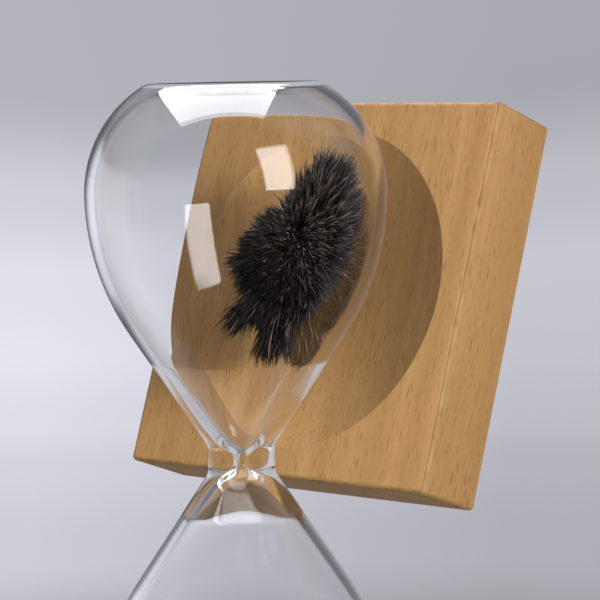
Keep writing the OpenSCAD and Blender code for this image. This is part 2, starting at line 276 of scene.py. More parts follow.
class StageSettings(bpy.types.PropertyGroup):
    """Camera, lamps and sweep."""

    view_azimuth: FloatProperty(
        name="Azimuth", description="Turn of the camera round the glass",
        default=math.radians(41.48), subtype="ANGLE")
    view_elevation: FloatProperty(
        name="Elevation", description="Height of the camera's view",
        default=math.radians(5.19), subtype="ANGLE")
    view_roll: FloatProperty(
        name="Roll", description="Roll of the camera",
        default=math.radians(-1.08), subtype="ANGLE")
    waist_in_view: FloatVectorProperty(
        name="Waist in view", description="Waist seen from the camera: right, up and ahead",
        default=(-0.01266, -0.03427, 0.57692), size=3, subtype="XYZ")
    focal_pixels: FloatProperty(
        name="Focal length", description="Focal length in pixels of the picture's width",
        default=2664.0)
    floor_radius: FloatProperty(
        name="Floor radius", description="Radius of the flat floor", default=1.0, unit="LENGTH")
    cove_radius: FloatProperty(
        name="Cove radius", description="Radius of the curve from the floor to the wall",
        default=0.6, unit="LENGTH")
    wall_height: FloatProperty(
        name="Wall height", description="Height of the sweep's wall", default=1.9, unit="LENGTH")
    sweep_colour: FloatVectorProperty(
        name="Sweep", description="Colour of the floor and the wall",
        default=(0.30, 0.295, 0.29), size=3, subtype="COLOR")
    # The sweep's painted glow: its tint, its painted fall of light from left to right, and the same fall high
    # up on the wall
    wall_tint: FloatVectorProperty(
        name="Wall tint", description="Tint of the tones of the sweep",
        default=(1.0, 1.0, 1.11), size=3)
    right_share: FloatProperty(
        name="Right share", description="Tone of the sweep's right as a share of its left's",
        default=0.70, subtype="FACTOR")
    far_share: FloatProperty(
        name="Far share", description="The same high up on the sweep's wall",
        default=0.88, subtype="FACTOR")
    # Painted dark reflections: how much of the sweep's glow the glass mirrors from the studio's sides and
    # from a wedge behind it
    side_share: FloatProperty(
        name="Side share", description="Tone of the studio's sides as a share of what is behind the glass",
        default=0.3, subtype="FACTOR")
    behind_share: FloatProperty(
        name="Back share", description="Share that is left of what the glass mirrors straight behind it",
        default=0.12, subtype="FACTOR")
    key_azimuth: FloatProperty(
        name="Key azimuth", description="Turn of the key light round the glass",
        default=math.radians(83.7), subtype="ANGLE")
    key_elevation: FloatProperty(
        name="Key elevation", description="Height of the key light",
        default=math.radians(12.7), subtype="ANGLE")
    key_distance: FloatProperty(
        name="Key distance", description="Distance of the key light", default=1.1, unit="LENGTH")
    key_size: FloatVectorProperty(
        name="Key size", description="Width and height of the key light",
        default=(0.25, 0.25), size=2)
    key_power: FloatProperty(
        name="Key power", description="Power of the key light", default=28.0, unit="POWER")
    key_colour: FloatVectorProperty(
        name="Key colour", description="Colour of the key light",
        default=(1.0, 0.97, 0.94), size=3, subtype="COLOR")
    flag_share: FloatProperty(
        name="Flag", description="Share of the key light that the flag lets on to the block's side",
        default=0.16, subtype="FACTOR")
    shine_azimuth: FloatProperty(
        name="Softbox azimuth", description="Turn of the softbox that the glass mirrors",
        default=math.radians(76.5), subtype="ANGLE")
    shine_elevation: FloatProperty(
        name="Softbox elevation", description="Height of the softbox that the glass mirrors",
        default=math.radians(25.0), subtype="ANGLE")
    shine_size: FloatVectorProperty(
        name="Softbox size", description="Width and height of the softbox that the glass mirrors",
        default=(0.40, 0.68), size=2)
    shine: FloatProperty(
        name="Softbox brightness", description="Brightness of the softbox that the glass mirrors",
        default=7.0)
    shine_colour: FloatVectorProperty(
        name="Softbox colour", description="Colour of the softbox that the glass mirrors",
        default=(1.0, 0.97, 0.96), size=3, subtype="COLOR")
    fill_azimuth: FloatProperty(
        name="Fill azimuth", description="Turn of the fill light round the glass",
        default=math.radians(-75.0), subtype="ANGLE")
    fill_elevation: FloatProperty(
        name="Fill elevation", description="Height of the fill light",
        default=math.radians(15.0), subtype="ANGLE")
    fill_power: FloatProperty(
        name="Fill power", description="Power of the fill light", default=1.6, unit="POWER")
    fill_colour: FloatVectorProperty(
        name="Fill colour", description="Colour of the fill light",
        default=(1.0, 0.92, 0.82), size=3, subtype="COLOR")
    front_azimuth: FloatProperty(
        name="Front azimuth", description="Turn of the front light round the glass",
        default=math.radians(62.0), subtype="ANGLE")
    front_elevation: FloatProperty(
        name="Front elevation", description="Height of the front light",
        default=math.radians(42.0), subtype="ANGLE")
    front_power: FloatProperty(
        name="Front power", description="Power of the front light", default=5.5, unit="POWER")
    front_colour: FloatVectorProperty(
        name="Front colour", description="Colour of the front light",
        default=(1.0, 0.99, 0.98), size=3, subtype="COLOR")
    canopy_place: FloatVectorProperty(
        name="Canopy", description="Middle of the canopy that the glass mirrors: right, behind and up",
        default=(-0.175, 0.54, 1.3), size=3, subtype="XYZ")
    canopy_size: FloatVectorProperty(
        name="Canopy size", description="Width and depth of the canopy", default=(1.09, 1.52), size=2)
    canopy: FloatProperty(
        name="Canopy brightness", description="Brightness of the canopy that the glass mirrors",
        default=6.0)
    canopy_colour: FloatVectorProperty(
        name="Canopy colour", description="Colour of the canopy",
        default=(1.0, 0.99, 0.99), size=3, subtype="COLOR")
    world_strength: FloatProperty(
        name="Ambient", description="Strength of the light from all round", default=0.14)
    world_share: FloatProperty(
        name="Mirrored ambient", description="Share of the light from all round that the glass mirrors",
        default=0.1, subtype="FACTOR")
    world_colour: FloatVectorProperty(
        name="Ambient colour", description="Colour of the light from all round",
        default=(1.0, 0.93, 0.85), size=3, subtype="COLOR")


# Meshes from numpy

def unit(vectors):
    """Vectors of length one."""
    return vectors / np.linalg.norm(vectors, axis=-1, keepdims=True)


def arc(centre, radius, start, end, count):
    """Points on a circle: centre + radius * (cos a, sin a), for count angles a from start to end."""
    angles = np.linspace(start, end, count)
    return np.array(centre) + radius * np.column_stack([np.cos(angles), np.sin(angles)])


def line(start, end, count):
    """Points on a straight line: start + t * (end - start), for count shares t from 0 to 1."""
    shares = np.linspace(0.0, 1.0, count)[:, None]
    return np.array(start) + shares * (np.array(end) - np.array(start))


def joined(*stretches):
    """One outline from stretches that each start where the last one ends."""
    return np.vstack([stretches[0]] + [stretch[1:] for stretch in stretches[1:]])


def ring_quads(rows, columns):
    """Faces of a grid of rings that close on themselves.

    Each face joins neighbours (row, column), (row, column + 1), (row + 1, column + 1), (row + 1, column).
    """
    row, column = np.meshgrid(np.arange(rows - 1), np.arange(columns), indexing="ij")
    here = row * columns + column
    beside = row * columns + (column + 1) % columns
    return np.stack([here, beside, beside + columns, here + columns], axis=-1).reshape(-1, 4)


def ring_fan(rows, columns, pole, row):
    """Triangles from a pole to a row of the same grid. Poles are numbered on from the grid's points."""
    step = np.arange(columns)
    start = row * columns
    return np.stack([
        np.full(columns, rows * columns + pole), start + step, start + (step + 1) % columns], axis=-1)


def ring_shell(rings, first_pole, last_pole, flip=False):
    """Closed surface P(row, column) over a grid of rings, with a point at each end."""
    rows, columns = rings.shape[:2]
    vertices = np.vstack([rings.reshape(-1, 3), first_pole, last_pole])
    first_fan = ring_fan(rows, columns, 0, 0)[:, [0, 2, 1]]
    quads = ring_quads(rows, columns)
    triangles = np.vstack([first_fan, ring_fan(rows, columns, 1, rows - 1)])
    if flip:
        quads, triangles = quads[:, ::-1], triangles[:, ::-1]
    return vertices, quads, triangles


def turned_rings(profile, segments):
    """Rings of a surface of revolution: (r, z) goes to (r cos a, r sin a, z), for angles a all round."""
    angles = np.linspace(0.0, 2.0 * np.pi, segments, endpoint=False)
    radius, height = profile[:, :1], profile[:, 1:]
    return np.stack([
        radius * np.cos(angles), radius * np.sin(angles), np.broadcast_to(height, (len(profile), segments)),
    ], axis=-1)


def lathe(profile, segments, flip=False):
    """Closed surface of revolution of a profile that starts and ends on the axis."""
    rings = turned_rings(profile[1:-1], segments)
    return ring_shell(rings, (0.0, 0.0, profile[0, 1]), (0.0, 0.0, profile[-1, 1]), flip)


def together(*shells):
    """One shell from several: their vertices in a row, and faces that count on from the shell before."""
    starts = np.cumsum([0] + [len(vertices) for vertices, _, _ in shells])
    return (
        np.vstack([vertices for vertices, _, _ in shells]),
        np.vstack([start + quads for start, (_, quads, _) in zip(starts, shells)]),
        np.vstack([start + triangles for start, (_, _, triangles) in zip(starts, shells)]),
    )


def add_mesh(name, shell, material):
    """Puts a shell into the scene as a smooth object."""
    vertices, quads, triangles = shell
    mesh = bpy.data.meshes.new(name)
    mesh.from_pydata(vertices.tolist(), [], quads.tolist() + triangles.tolist())
    mesh.polygons.foreach_set("use_smooth", np.ones(len(mesh.polygons), bool))
    mesh.materials.append(material)
    mesh.update()
    made = bpy.data.objects.new(name, mesh)
    bpy.context.scene.collection.objects.link(made)
    return made


def add_piece(name, shell, material, body, slot, *nodes):
    """Puts a shell into the scene as a piece that rides on a body and stands for CAD nodes."""
    piece = add_mesh(name, shell, material)
    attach(piece, body)
    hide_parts(*nodes)
    return piece


# Glass

def glass_sizes(glass):
    """Key points of the bulb's outside, as radius and height above the waist, by its chain of arcs."""
    sine, cosine = math.sin(glass.cone_angle), math.cos(glass.cone_angle)
    low = np.array([
        glass.neck_radius + glass.waist_fillet * (1.0 - cosine),
        glass.neck_height / 2.0 + glass.waist_fillet * sine,
    ])
    run = (glass.bulb_radius - low[0] - glass.belly_radius * (1.0 - cosine)) / sine
    top = low + run * np.array([sine, cosine])
    widest = top[1] + glass.belly_radius * sine
    belly = np.array([glass.bulb_radius - glass.belly_radius, widest])
    shoulder = np.array([glass.bulb_radius - glass.shoulder_radius, widest])
    turn = np.array([math.cos(glass.shoulder_turn), math.sin(glass.shoulder_turn)])
    corner = shoulder + (glass.shoulder_radius - glass.corner_radius) * turn
    return low, top, belly, shoulder, corner


def bulb_profile(glass, inset):
    """From the funnel's top to the axis: belly, shoulder and corner arcs and flat end, less an inset."""
    _, _, belly, shoulder, corner = glass_sizes(glass)
    flat = corner[1] + glass.corner_radius - inset
    return joined(
        arc(belly, glass.belly_radius - inset, -glass.cone_angle, 0.0, 26),
        arc(shoulder, glass.shoulder_radius - inset, 0.0, glass.shoulder_turn, 34),
        arc(corner, glass.corner_radius - inset, glass.shoulder_turn, math.pi / 2.0, 12),
        line((corner[0], flat), (0.0, flat), 8),
    )


def outer_profile(glass):
    """Outside of a bulb: straight waist, fillet, funnel and the bulb's arcs."""
    low, top, _, _, _ = glass_sizes(glass)
    fillet = (glass.neck_radius + glass.waist_fillet, glass.neck_height / 2.0)
    return joined(
        line((glass.neck_radius, 0.0), (glass.neck_radius, glass.neck_height / 2.0), 4),
        arc(fillet, glass.waist_fillet, math.pi, math.pi - glass.cone_angle, 8),
        line(low, top, 14),
        bulb_profile(glass, 0.0),
    )


def corner_arc(before, corner, after, radius, count):
    """Arc of a given radius that rounds the corner between two straight stretches."""
    before, corner, after = np.array(before), np.array(corner), np.array(after)
    back, ahead = unit(before - corner), unit(after - corner)
    half = math.acos(np.clip(back @ ahead, -1.0, 1.0)) / 2.0
    centre = corner + radius / math.sin(half) * unit(back + ahead)
    start = corner + radius / math.tan(half) * back - centre
    end = corner + radius / math.tan(half) * ahead - centre
    first = math.atan2(start[1], start[0])
    sweep = math.atan2(start[0] * end[1] - start[1] * end[0], start @ end)
    return arc(centre, radius, first, first + sweep, count)


def cavity_profile(glass, hole_height, throat_height):
    """Inside of a bulb: the hole, a thick throat, wider in angle than the outside, the wall and the arcs."""
    low, top, _, _, _ = glass_sizes(glass)
    along = np.array([math.sin(glass.cone_angle), math.cos(glass.cone_angle)])
    inwards = np.array([-along[1], along[0]])
    wall_low, wall_top = low + glass.wall * inwards, top + glass.wall * inwards
    mouth = wall_low + (throat_height - wall_low[1]) / along[1] * along
    waist, hole = (glass.hole_radius, 0.0), (glass.hole_radius, hole_height)
    opening = corner_arc(waist, hole, mouth, glass.hole_fillet, 14)
    widening = corner_arc(hole, mouth, wall_top, glass.throat_fillet, 16)
    return joined(
        line(waist, opening[0], 3),
        opening,
        line(opening[-1], widening[0], 10),
        widening,
        line(widening[-1], wall_top, 10),
        bulb_profile(glass, glass.wall),
    )


def both_bulbs(upper, lower):
    """A profile above the waist and one turned over below it, from the foot to the top."""
    below = (lower * (1.0, -1.0))[:0:-1]
    return np.vstack([below, upper]) + (0.0, waist_height)


def whole_outside(glass):
    """Outside of both bulbs, from the foot to the top."""
    return both_bulbs(outer_profile(glass), outer_profile(glass))


def whole_cavity(glass):
    """Inside of both bulbs, from the foot to the top."""
    return both_bulbs(
        cavity_profile(glass, glass.upper_hole, glass.upper_throat),
        cavity_profile(glass, glass.lower_hole, glass.lower_throat))


# Materials

def set_inputs(tree, made, inputs):
    """Sets a node's inputs to values, or links them to the outputs of other nodes."""
    for socket, value in inputs.items():
        if isinstance(value, bpy.types.NodeSocket):
            tree.links.new(value, made.inputs[socket])
        else:
            made.inputs[socket].default_value = value


def node(tree, kind, inputs=None, **settings):
    """Adds a shader node, sets its fields, and sets or links its inputs."""
    made = tree.nodes.new(kind)
    for field, value in settings.items():
        setattr(made, field, value)
    set_inputs(tree, made, inputs or {})
    return made


def object_place(tree):
    """Coordinates of the object, which are those of the frame."""
    return node(tree, "ShaderNodeTexCoord").outputs["Object"]


def new_material(name):
    """A plain node material, with its tree, its Principled shader and its output."""
    material = bpy.data.materials.new(name)
    material.use_nodes = True
    tree = material.node_tree
    tree.nodes.clear()
    shader = tree.nodes.new("ShaderNodeBsdfPrincipled")
    output = tree.nodes.new("ShaderNodeOutputMaterial")
    tree.links.new(shader.outputs[0], output.inputs["Surface"])
    return material, tree, shader, output


def mixed(tree, factor, first, second, blend="MIX"):
    """Colour between first and second."""
    return node(
        tree, "ShaderNodeMix", {0: factor, 6: first, 7: second}, data_type="RGBA", blend_type=blend,
    ).outputs[2]


def ranged(tree, value, low, high, to_low=0.0, to_high=1.0, smooth=False):
    """Value moved from one range to another and held inside it."""
    return node(
        tree, "ShaderNodeMapRange",
        {"Value": value, "From Min": low, "From Max": high, "To Min": to_low, "To Max": to_high},
        interpolation_type="SMOOTHSTEP" if smooth else "LINEAR",
    ).outputs[0]


def maths(tree, operation, first, second=0.0):
    """One step of arithmetic."""
    return node(tree, "ShaderNodeMath", {0: first, 1: second}, operation=operation).outputs[0]


def stretched(tree, vector, lengths):
    """Coordinates in which a pattern's cell is as long along each axis as lengths say, in metres."""
    return node(
        tree, "ShaderNodeMapping", {"Vector": vector, "Scale": [1.0 / length for length in lengths]},
        vector_type="POINT",
    ).outputs[0]


def noise(tree, vector, detail=2.0, roughness=0.5):
    """Soft noise from 0 to 1, one cell to a unit."""
    return node(
        tree, "ShaderNodeTexNoise",
        {"Vector": vector, "Scale": 1.0, "Detail": detail, "Roughness": roughness},
    ).outputs["Fac"]


def opaque_colour(colour, share=1.0):
    """A share of a colour, with full alpha."""
    return (*[share * channel for channel in colour], 1.0)


def glass_material(glass):
    """Clear glass. Lamps and bounced light pass straight through it, so that what it holds is lit.

    Where light has been mirrored many times inside the wall, the glass glows in a painted pale tone.
    """
    material, tree, shader, output = new_material("blown_glass")
    set_inputs(tree, shader, {
        "Base Color": opaque_colour(glass.colour), "Roughness": 0.0, "IOR": glass.index,
        "Transmission Weight": 1.0})
    path = node(tree, "ShaderNodeLightPath")
    mirrored = node(tree, "ShaderNodeFresnel", {"IOR": glass.index}).outputs[0]
    passed = mixed(tree, mirrored, (1.0, 1.0, 1.0, 1.0), (0.95, 0.95, 0.95, 1.0))
    clear = node(tree, "ShaderNodeBsdfTransparent", {"Color": passed})
    lost = maths(tree, "GREATER_THAN", path.outputs["Glossy Depth"], MOST_MIRRORED)
    # Painted glow: the glass emits a pale tone where mirrored light ends
    glow = node(tree, "ShaderNodeEmission", {"Color": opaque_colour(glass.painted_glow_colour)})
    seen = node(tree, "ShaderNodeMixShader", {0: lost, 1: shader.outputs[0], 2: glow.outputs[0]})
    bounced = node(tree, "ShaderNodeMixShader", {
        0: path.outputs["Is Diffuse Ray"], 1: seen.outputs[0], 2: clear.outputs[0]})
    lamps = node(tree, "ShaderNodeMixShader", {
        0: path.outputs["Is Shadow Ray"], 1: bounced.outputs[0], 2: clear.outputs[0]})
    tree.links.new(lamps.outputs[0], output.inputs["Surface"])
    return material


def iron_material(filings):
    """Black iron with a soft metal gloss; some needles smoother than others, and a few painted paler as
    painted glints.
    """
    material, tree, shader, _ = new_material("iron_needles")
    polish_and_painted_glint = node(tree, "ShaderNodeAttribute", attribute_name="polish_and_painted_glint").outputs["Fac"]
    # Painted glints: a few needles get a base colour many times paler than the iron's, and a lower roughness
    rare = maths(tree, "POWER", polish_and_painted_glint, 5.0)
    tone = mixed(tree, rare, opaque_colour(filings.colour, 0.4), opaque_colour(filings.colour, 9.0))
    set_inputs(tree, shader, {
        "Base Color": tone, "Roughness": ranged(tree, polish_and_painted_glint, 0.0, 1.0, 0.55, 0.3), "Metallic": 0.3,
        "Specular IOR Level": 0.4})
    return material


def block_place(tree, turn=0.0):
    """Coordinates on the block: across the face, up the face and out of it, from the face's centre."""
    place = object_place(tree)
    return node(tree, "ShaderNodeMapping", {
        "Vector": place,
        "Location": face_centre(),
        "Rotation": (math.pi / 2.0 - base_lean, turn, 0.0),
    }, vector_type="TEXTURE").outputs[0]


def fleck_layer(tree, grain, lengths, depth):
    """How dark the ray flecks of one size are: the middles of stretched cells, some deeper than others."""
    cells = node(tree, "ShaderNodeTexVoronoi", {
        "Vector": stretched(tree, grain, lengths), "Scale": 1.0, "Randomness": 1.0,
    }, feature="F1", distance="EUCLIDEAN")
    chance = node(tree, "ShaderNodeSeparateColor", {0: cells.outputs["Color"]})
    shape = ranged(tree, cells.outputs["Distance"], 0.18, 0.34, 1.0, 0.0, smooth=True)
    return maths(tree, "MULTIPLY", shape, ranged(tree, chance.outputs[0], 0.1, 1.0, 0.0, depth))


def beech_material(base, name, turn=0.0, painted_edge_highlight=True):
    """Beech: growth bands, fine fibres, short dark ray flecks along the grain and, if asked, a painted
    highlight along the face's edges.
    """
    material, tree, shader, _ = new_material(name)
    place = block_place(tree, turn)
    wander = noise(tree, stretched(tree, place, (0.03, 0.09, 0.03)))
    drift = node(tree, "ShaderNodeCombineXYZ", {
        "X": ranged(tree, wander, 0.2, 0.8, -0.002, 0.002),
        "Z": ranged(tree, wander, 0.2, 0.8, 0.002, -0.002),
    }).outputs[0]
    grain = node(tree, "ShaderNodeVectorMath", {0: place, 1: drift}, operation="ADD").outputs[0]

    bands = noise(tree, stretched(tree, grain, (0.006, 0.25, 0.009)), detail=3.0)
    fibres = noise(tree, stretched(tree, grain, (0.00045, 0.014, 0.00045)), detail=3.0, roughness=0.6)
    colour = mixed(
        tree, ranged(tree, bands, 0.3, 0.7), opaque_colour(base.wood_dark), opaque_colour(base.wood_light))
    shade = ranged(tree, fibres, 0.25, 0.75, 0.90, 1.08)
    colour = mixed(tree, 1.0, colour, node(tree, "ShaderNodeCombineColor", {
        0: shade, 1: shade, 2: shade}).outputs[0], "MULTIPLY")

    large = fleck_layer(tree, grain, (0.00062, 0.0054, 0.00062), 0.65)
    small = fleck_layer(tree, grain, (0.00045, 0.0036, 0.00045), 0.45)
    flecks = maths(tree, "MAXIMUM", large, small)
    colour = mixed(tree, flecks, colour, opaque_colour(base.fleck))

    # Painted highlight: a ragged pale line along the face's edges, where light catches their rounding
    if painted_edge_highlight:
        parts = node(tree, "ShaderNodeSeparateXYZ", {0: place})
        outermost = maths(tree, "MAXIMUM", maths(
            tree, "ABSOLUTE", parts.outputs["X"]), maths(tree, "ABSOLUTE", parts.outputs["Y"]))
        off = node(tree, "ShaderNodeVectorMath", {0: node(tree, "ShaderNodeCombineXYZ", {
            "X": maths(tree, "SUBTRACT", outermost, block_high.x), "Z": parts.outputs["Z"]}).outputs[0],
        }, operation="LENGTH").outputs["Value"]
        ragged = ranged(tree, noise(tree, stretched(tree, place, (0.002, 0.005, 0.002))), 0.35, 0.6)
        edge = maths(tree, "MULTIPLY", ranged(tree, off, 0.0004, 0.0009, 0.7, 0.0, smooth=True), ragged)
        colour = mixed(tree, edge, colour, opaque_colour(base.painted_edge_highlight))

    height = maths(tree, "SUBTRACT", maths(tree, "MULTIPLY", fibres, 0.5), flecks)
    bump = node(tree, "ShaderNodeBump", {"Height": height, "Strength": 0.25, "Distance": 0.00006})
    set_inputs(tree, shader, {
        "Base Color": colour, "Roughness": ranged(tree, fibres, 0.3, 0.7, 0.46, 0.62),
        "Specular IOR Level": 0.12, "Normal": bump.outputs[0]})
    return material


def felt_material(base):
    """Brown wool felt with a matted nap."""
    material, tree, shader, _ = new_material("wool_felt")
    place = object_place(tree)
    nap = noise(tree, stretched(tree, place, (0.0003, 0.0003, 0.0003)), detail=4.0, roughness=0.7)
    tone = mixed(
        tree, ranged(tree, nap, 0.3, 0.7), opaque_colour(base.felt, 0.6), opaque_colour(base.felt, 1.7))
    bump = node(tree, "ShaderNodeBump", {"Height": nap, "Strength": 0.6, "Distance": 0.0002})
    set_inputs(tree, shader, {
        "Base Color": tone, "Roughness": 0.95, "Sheen Weight": 0.4, "Normal": bump.outputs[0]})
    return material


def nickel_material():
    """Nickel plate with a fine satin brush."""
    material, tree, shader, _ = new_material("nickel_plate")
    place = object_place(tree)
    brush = noise(tree, stretched(tree, place, (0.004, 0.0001, 0.0001)), detail=3.0)
    tone = mixed(tree, brush, (0.52, 0.51, 0.49, 1.0), (0.70, 0.69, 0.66, 1.0))
    set_inputs(tree, shader, {
        "Base Color": tone, "Roughness": ranged(tree, brush, 0.3, 0.7, 0.22, 0.36), "Metallic": 1.0})
    return material


def glue_material():
    """Cured amber glue, a little cloudy."""
    material, tree, shader, _ = new_material("amber_glue")
    place = object_place(tree)
    cloud = noise(tree, stretched(tree, place, (0.003, 0.003, 0.003)), detail=3.0)
    tone = mixed(tree, cloud, (0.52, 0.36, 0.12, 1.0), (0.74, 0.60, 0.30, 1.0))
    set_inputs(tree, shader, {"Base Color": tone, "Roughness": 0.3})
    return material


# Base

def face_normal():
    """Way out of the dish: against the pull."""
    return -pull_axis


def face_centre():
    """Centre of the block's front face."""
    thickness = bpy.context.scene.hourglass_base.thickness
    return (block_low + block_high) / 2.0 + face_normal() * thickness / 2.0


def on_base(points):
    """Points on the block, across, up and out of its face, moved to where the base leans."""
    across = np.array([1.0, 0.0, 0.0])
    up = np.array([0.0, math.sin(base_lean), math.cos(base_lean)])
    out = np.array(face_normal())
    return np.array(face_centre()) + points @ np.stack([across, up, out])


def square_rings(half_widths, corners, arc_count, side_count):
    """Rounded squares: corners are quarter circles about (half width - corner radius), sides are straight."""
    turns = np.arange(4)
    angles = (turns[:, None] + np.linspace(0.0, 1.0, arc_count)) * np.pi / 2.0
    signs = np.array([[1, 1], [-1, 1], [-1, -1], [1, -1]])
    middles = (half_widths - corners)[:, None, None, None] * signs[:, None, :]
    curves = np.stack([np.cos(angles), np.sin(angles)], axis=-1)
    bends = middles + corners[:, None, None, None] * curves
    starts, ends = bends[:, :, -1:, :], np.roll(bends[:, :, :1, :], -1, axis=1)
    shares = np.linspace(0.0, 1.0, side_count + 2)[1:-1, None]
    sides = starts + shares * (ends - starts)
    return np.concatenate([bends, sides], axis=2).reshape(len(half_widths), -1, 2)


def block_shell(base):
    """The block as rings round the dish's axis, from the dish over the face, sides and back into the bore.

    The rings are circles in dish and bore and rounded squares on the sides, and blend on face and back.
    """
    half = block_high.x
    sphere = (base.dish_radius ** 2 + base.dish_depth ** 2) / (2.0 * base.dish_depth)
    out = sphere - base.dish_depth
    rim = np.array([
        math.sqrt((sphere + base.rim_radius) ** 2 - (out + base.rim_radius) ** 2), -base.rim_radius])
    lean = math.atan2(rim[0], out + base.rim_radius)
    bowl = arc((0.0, out), sphere, -math.pi / 2.0, lean - math.pi / 2.0, 40)[1:]
    lip = arc(rim, base.rim_radius, math.pi / 2.0 + lean, math.pi / 2.0, 8)[1:]
    circles = np.vstack([bowl, lip])

    edge = base.edge_radius
    turn = np.linspace(0.0, math.pi / 2.0, 7)
    square_half = np.concatenate([half - edge + edge * np.sin(turn), half - edge + edge * np.cos(turn)])
    square_corner = np.concatenate([edge * np.sin(turn), edge * np.cos(turn)])
    square_depth = np.concatenate([
        edge * np.cos(turn) - edge, edge - base.thickness - edge * np.sin(turn)])
    squares = square_rings(square_half, square_corner, 6, 30)
    bearing = np.arctan2(squares[6, :, 1], squares[6, :, 0])
    round_ring = np.stack([np.cos(bearing), np.sin(bearing)], axis=-1)

    def at_depth(rings, depth):
        """Flat rings set at their depths."""
        return np.concatenate([rings, np.broadcast_to(
            np.reshape(depth, (-1, 1, 1)), (*rings.shape[:2], 1))], axis=-1)

    def between(first, last):
        """Rings that blend from the first to the last."""
        shares = np.array([0.01, 0.12, 0.3, 0.5, 0.7, 0.88, 0.99])[:, None, None]
        return first + shares * (last - first)

    dish = at_depth(circles[:, :1, None] * round_ring, circles[:, 1])
    edges = at_depth(squares, square_depth)
    bore_depth = np.array([-base.thickness, -base.dish_depth - base.floor_thickness])
    bore = at_depth(base.bore_radius * np.stack([round_ring, round_ring]), bore_depth)
    rings = np.concatenate([
        dish, between(dish[-1], edges[0]), edges, between(edges[-1], bore[0]), bore,
        at_depth(0.5 * base.bore_radius * round_ring[None], bore_depth[1])])
    poles = on_base(np.array([[0.0, 0.0, -base.dish_depth], [0.0, 0.0, bore_depth[1]]]))
    return ring_shell(on_base(rings), poles[0], poles[1], flip=True)


def plug_shell(base):
    """The plug in the bore: a disc turned from a profile with chamfered edges."""
    chamfer, low, high = base.plug_chamfer, -base.thickness, -base.plug_top
    profile = np.array([
        (0.0, low), (0.6 * base.plug_radius, low), (base.plug_radius - chamfer, low),
        (base.plug_radius, low + chamfer), (base.plug_radius, high - chamfer),
        (base.plug_radius - chamfer, high), (0.0, high),
    ])
    vertices, quads, triangles = lathe(profile, 96)
    return on_base(vertices), quads, triangles


def pads_shell(base, seed=3):
    """Four felt pads, each turned from a profile with a round rim, with a matted face moved by chance."""
    low, high = -base.thickness - base.pad_thickness, -base.thickness
    soft = 0.4 * base.pad_thickness
    profile = joined(
        line((0.0, low), (base.pad_radius - soft, low), 9),
        arc((base.pad_radius - soft, low + soft), soft, -math.pi / 2.0, 0.0, 6),
        line((base.pad_radius, low + soft), (base.pad_radius, high), 4),
        line((base.pad_radius, high), (0.0, high), 4),
    )
    vertices, quads, triangles = lathe(profile, 64)
    chance = np.random.default_rng(seed)
    pads = []
    for side in (-1.0, 1.0):
        for end in (-1.0, 1.0):
            nap = chance.uniform(0.0, 0.00008, len(vertices)) * (vertices[:, 2] < high - soft)
            moved = vertices + np.array([side * base.pad_offset, end * base.pad_offset, 0.0])
            moved[:, 2] += nap
            pads.append((on_base(moved), quads, triangles))
    return together(*pads)


# Filings

def spread_directions(count, chance, jitter):
    """Directions spread evenly over a sphere by the golden angle, each moved a little by chance."""
    step = np.arange(count) + 0.5
    height = 1.0 - 2.0 * step / count
    angle = step * math.pi * (3.0 - math.sqrt(5.0))
    wide = np.sqrt(1.0 - height ** 2)
    way = np.stack([wide * np.cos(angle), wide * np.sin(angle), height], axis=-1)
    return unit(way + chance.normal(0.0, jitter, (count, 3)))


def clump_reach(filings, ways):
    """Reach of the needles in each direction: the clump's radius, swollen round each lobe.

    A lobe adds its reach beyond the radius, times exp(-(angle / spread) ** 2). The largest one counts.
    """
    lobes = np.array(LOBES)
    turn, tilt = np.radians(lobes[:, 0]), np.radians(lobes[:, 1])
    level, upright, back = view_axes(bpy.context.scene.hourglass_stage)
    axes = (
        (np.cos(turn) * np.cos(tilt))[:, None] * np.array(level)
        + (np.sin(turn) * np.cos(tilt))[:, None] * np.array(upright)
        + np.sin(tilt)[:, None] * np.array(back))
    angle = np.degrees(np.arccos(np.clip(ways @ axes.T, -1.0, 1.0)))
    swell = (lobes[:, 2] / 1000.0 - filings.clump_radius) * np.exp(-(angle / lobes[:, 3]) ** 2)
    return filings.clump_radius + swell.max(axis=-1)


def in_glass(points, heights, radii, gap):
    """True where points keep the gap from the glass, both at rest and after the slump."""
    moved = points + slump_travel * np.array(slump_axis)
    clear = np.ones(points.shape[:-1], bool)
    for place in (points, moved):
        clear &= np.hypot(place[..., 0], place[..., 1]) < np.interp(place[..., 2], heights, radii) - gap
    return clear


def needles_shell(roots, tips, bends, radii, chance):
    """Needles: three-sided rods P(step, corner) = axis + radius * corner direction, bent, with a point."""
    along = unit(tips - roots)
    side = unit(np.cross(along, unit(chance.normal(size=along.shape))))
    other = np.cross(along, side)
    turn = np.arange(3) * 2.0 * np.pi / 3.0
    corner = side[:, None] * np.cos(turn)[:, None] + other[:, None] * np.sin(turn)[:, None]
    middle = roots + NEEDLE_BEND * (tips - roots) + bends
    rod = np.concatenate([
        roots[:, None] + radii[:, None, None] * corner,
        middle[:, None] + BEND_RADIUS * radii[:, None, None] * corner,
        tips[:, None],
    ], axis=1)
    start = NEEDLE_POINTS * np.arange(len(roots))[:, None]
    walls = np.array([[0, 1, 4, 3], [1, 2, 5, 4], [2, 0, 3, 5]])
    ends = np.array([[3, 4, 6], [4, 5, 6], [5, 3, 6], [0, 2, 1]])
    quads = (start[:, :, None] + walls).reshape(-1, 4)
    triangles = (start[:, :, None] + ends).reshape(-1, 3)
    return rod.reshape(-1, 3), quads, triangles


